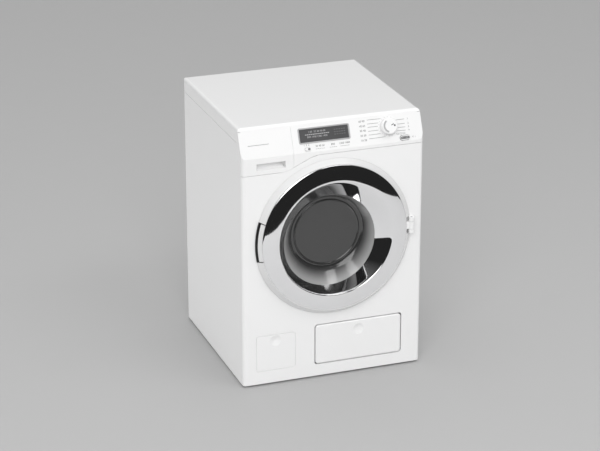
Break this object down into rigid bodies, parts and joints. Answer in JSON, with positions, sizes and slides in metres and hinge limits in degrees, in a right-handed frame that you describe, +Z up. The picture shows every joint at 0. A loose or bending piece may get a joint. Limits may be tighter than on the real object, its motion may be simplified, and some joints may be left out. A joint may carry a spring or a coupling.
{
  "type": "toy washing machine",
  "caption": "Front-loading toy washing machine with a round hinged door, a spinning perforated drum, a sloping control panel, a drawer and a service flap.",
  "frame": {"origin": "middle of the floor rectangle that the machine covers, door included, on the floor", "axes": "+X right seen from the front, +Y back, +Z up"},
  "size_m": [0.184, 0.191, 0.262],
  "materials": {
    "white_shell": "satin",
    "white_panel": "satin",
    "white_rear": "matte",
    "grey_base": "matte",
    "rubber_feet": "matte",
    "screws": "satin",
    "display_frame": "satin",
    "display_lens": "glossy",
    "display_body": "matte",
    "board": "matte",
    "switches": "matte",
    "encoder": "matte",
    "dial": "satin",
    "keys": "matte",
    "drawer_inside": "matte",
    "hose": "matte",
    "door_band": "satin",
    "door_handle": "satin",
    "bright_ring": "polished",
    "smoked_bowl": "glossy",
    "door_back": "matte",
    "hinge_parts": "satin",
    "steel_pins": "satin",
    "seal": "matte",
    "tub": "matte",
    "sheet_steel": "matte",
    "drum_metal": "metallised",
    "paddles": "matte",
    "shafts": "satin",
    "bush": "satin",
    "pulleys": "matte",
    "belt": "matte",
    "motor_can": "satin",
    "flap": "satin",
    "niche": "matte",
    "filter": "matte",
    "sump": "matte",
    "battery_case": "matte",
    "contacts": "satin",
    "speaker": "matte"
  },
  "bodies": {
    "casing": {"cabinet": "white_shell", "top_cover": "white_shell", "rear_panel": "white_rear", "base_plate": "grey_base", "feet": "rubber_feet", "casing_screws": "screws", "control_fascia": "white_panel", "display_rim": "display_frame", "display_window": "display_lens", "display_module": "display_body", "circuit_board": "board", "key_switches": "switches", "dial_encoder": "encoder", "drawer_housing": "drawer_inside", "fill_hose": "hose", "hinge_bracket": "hinge_parts", "hinge_pin": "steel_pins", "door_catch": "door_back", "door_seal": "seal", "tub_front": "tub", "tub_rear": "tub", "tub_cradle": "sheet_steel", "bearing_bush": "bush", "drive_belt": "belt", "motor": "motor_can", "motor_bracket": "sheet_steel", "flap_niche": "niche", "drain_sump": "sump", "drain_hose": "hose", "battery_box": "battery_case", "battery_contacts": "contacts", "battery_door": "white_rear", "battery_screw": "screws", "loudspeaker": "speaker"},
    "door": {"door_band": "door_band", "door_handle": "door_handle", "door_ring": "bright_ring", "door_glass": "smoked_bowl", "door_inner_ring": "door_back", "door_screws": "screws", "door_hook": "door_back", "door_hinge_arm": "hinge_parts"},
    "drum_unit": {"drum": "drum_metal", "drum_paddles": "paddles", "drum_hub_cap": "drum_metal", "drum_shaft": "shafts", "drum_pulley": "pulleys"},
    "motor_rotor": {"motor_shaft": "shafts", "motor_pulley": "pulleys"},
    "dial": {"program_dial": "dial"},
    "power_key": {"power_key_cap": "keys"},
    "start_key": {"start_key_cap": "keys"},
    "drawer": {"drawer_front": "white_panel", "drawer_tray": "drawer_inside"},
    "flap": {"service_flap": "flap", "flap_pins": "steel_pins"},
    "filter": {"filter_cap": "filter"}
  },
  "joints": [
    {"name": "door_hinge", "type": "hinge", "parent": "casing", "child": "door", "pos_m": [0.079, -0.0912, 0.1499], "axis": [0, 0, 1], "range_deg": [0, 105]},
    {"name": "drum_spin", "type": "hinge", "parent": "casing", "child": "drum_unit", "pos_m": [0, 0.0135, 0.1469], "axis": [0, 1, 0], "continuous": true},
    {"name": "motor_spin", "type": "hinge", "parent": "casing", "child": "motor_rotor", "pos_m": [0.042, 0.0135, 0.0446], "axis": [0, 1, 0], "continuous": true},
    {"name": "dial_turn", "type": "hinge", "parent": "casing", "child": "dial", "pos_m": [0.0574, -0.08023, 0.24909], "axis": [0, -0.9167, 0.3996], "continuous": true},
    {"name": "power_key_press", "type": "slide", "parent": "casing", "child": "power_key", "axis": [0, 0.9167, -0.3996], "range_m": [0, 0.001], "stiffness_N_per_m": 300, "springref_m": -0.0005},
    {"name": "start_key_press", "type": "slide", "parent": "casing", "child": "start_key", "axis": [0, 0.9167, -0.3996], "range_m": [0, 0.001], "stiffness_N_per_m": 300, "springref_m": -0.0005},
    {"name": "drawer_slide", "type": "slide", "parent": "casing", "child": "drawer", "axis": [0, -1, 0], "range_m": [0, 0.05]},
    {"name": "flap_hinge", "type": "hinge", "parent": "casing", "child": "flap", "pos_m": [0.0267, -0.0848, 0.017], "axis": [1, 0, 0], "range_deg": [0, 88]},
    {"name": "filter_turn", "type": "hinge", "parent": "casing", "child": "filter", "pos_m": [0.0267, -0.0565, 0.0352], "axis": [0, -1, 0], "range_deg": [0, 90]}
  ],
  "couplings": [
    {"joint": "motor_spin", "follows": "drum_spin", "ratio": 5.4286}
  ]
}
